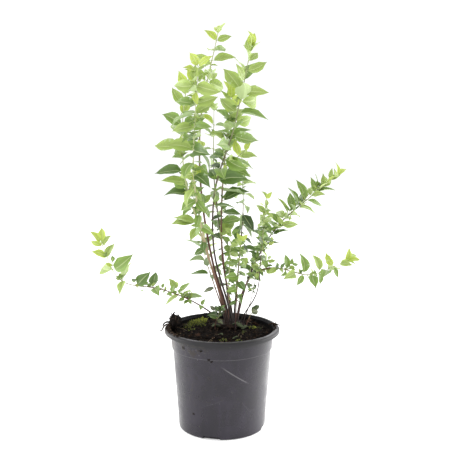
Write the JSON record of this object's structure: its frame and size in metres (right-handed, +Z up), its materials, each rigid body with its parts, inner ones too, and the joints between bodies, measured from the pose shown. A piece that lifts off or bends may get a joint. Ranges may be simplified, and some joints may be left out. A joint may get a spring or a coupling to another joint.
{
  "type": "potted mock orange shrub",
  "caption": "Young shrub in a round tapered plastic nursery pot, with slim upright and low arching shoots clothed in pairs of pointed green leaves.",
  "frame": {"origin": "centre of the pot's flat underside, where it stands", "axes": "+Z up along the pot's axis and the upright shoots; the low arching shoots spread to -X and +X; -Y faces the viewer of the picture"},
  "size_m": [0.4365, 0.2806, 0.6634],
  "materials": {
    "pot_plastic": "dark grey moulded plastic, satin, a little dusty",
    "compost": "damp crumbly peat-like compost",
    "crown_bark": "rough brown bark",
    "matted_roots": "dark matted roots and compost",
    "young_bark": "thin reddish-brown bark",
    "leaf": "soft matt green leaf"
  },
  "bodies": {
    "root": {"pot": "pot_plastic", "compost": "compost", "root_crown": "crown_bark", "root_clod": "matted_roots", "bough_tall_far_left": "young_bark", "bough_tall_left": "young_bark", "bough_tallest": "young_bark", "bough_tall_middle": "young_bark", "bough_tall_right": "young_bark", "bough_tall_back_left": "young_bark", "bough_tall_back_right": "young_bark", "bough_right_arching": "young_bark", "bough_low_right": "young_bark", "bough_low_left": "young_bark", "bough_low_back_right": "young_bark", "bough_low_back_left": "young_bark", "bough_right_upright": "young_bark", "bough_right_sucker": "young_bark", "bough_middle_sucker": "young_bark", "bough_front_sucker": "young_bark", "bough_foot_sucker_left": "young_bark", "bough_foot_sucker_right": "young_bark", "foliage_tall_far_left": "leaf", "foliage_tall_left": "leaf", "foliage_tallest": "leaf", "foliage_tall_middle": "leaf", "foliage_tall_right": "leaf", "foliage_tall_back_left": "leaf", "foliage_tall_back_right": "leaf", "foliage_right_arching": "leaf", "foliage_low_right": "leaf", "foliage_low_left": "leaf", "foliage_low_back_right": "leaf", "foliage_low_back_left": "leaf", "foliage_right_upright": "leaf", "foliage_right_sucker": "leaf", "foliage_middle_sucker": "leaf", "foliage_front_sucker": "leaf", "foliage_foot_sucker_left": "leaf", "foliage_foot_sucker_right": "leaf"}
  },
  "joints": []
}
